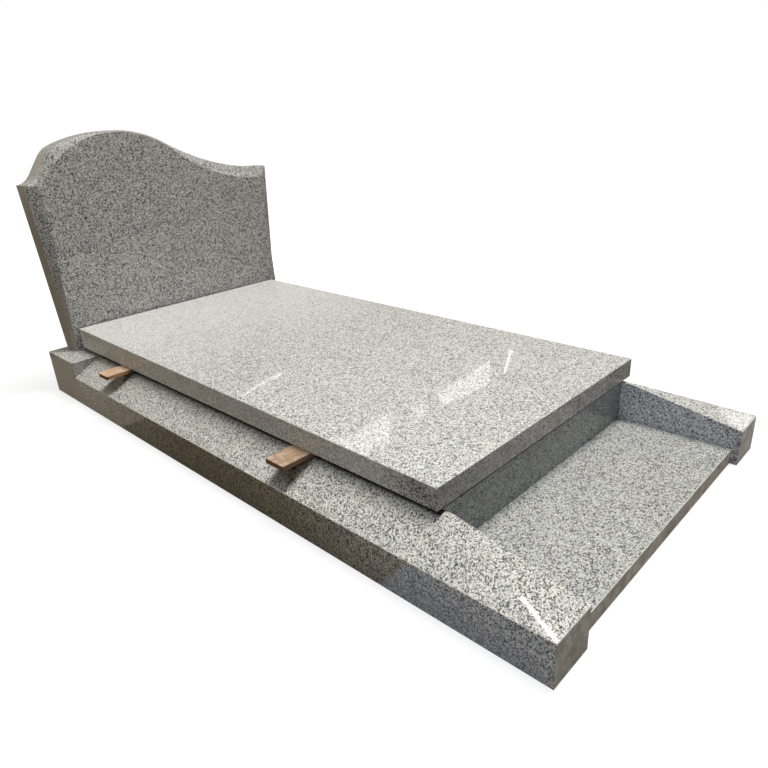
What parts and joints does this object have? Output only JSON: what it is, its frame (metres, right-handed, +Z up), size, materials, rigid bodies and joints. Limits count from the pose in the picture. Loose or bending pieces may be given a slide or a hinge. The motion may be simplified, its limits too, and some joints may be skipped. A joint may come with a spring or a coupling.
{
  "type": "headstone with kerbs",
  "caption": "Grey granite grave monument: wave-topped headstone, sloped kerbs, front tray, and a ledger slab loose on wooden battens.",
  "frame": {"origin": "on the ground, in the middle of the base", "axes": "+Y runs from the foot to the headstone, +X to the right as seen from the foot, +Z up"},
  "size_m": [1, 2, 0.857],
  "materials": {
    "headstone_granite": "polished grey granite with black and white speckle",
    "base_granite": "polished grey granite with black and white speckle",
    "ledger_granite": "polished grey granite with black and white speckle",
    "batten_wood": "rough-sawn softwood"
  },
  "bodies": {
    "root": {"headstone": "headstone_granite", "rear_block": "base_granite", "left_kerb": "base_granite", "right_kerb": "base_granite", "foot_wall": "base_granite", "front_tray": "base_granite", "ledger_slab": "ledger_granite", "rear_batten": "batten_wood", "front_batten": "batten_wood"}
  },
  "joints": []
}
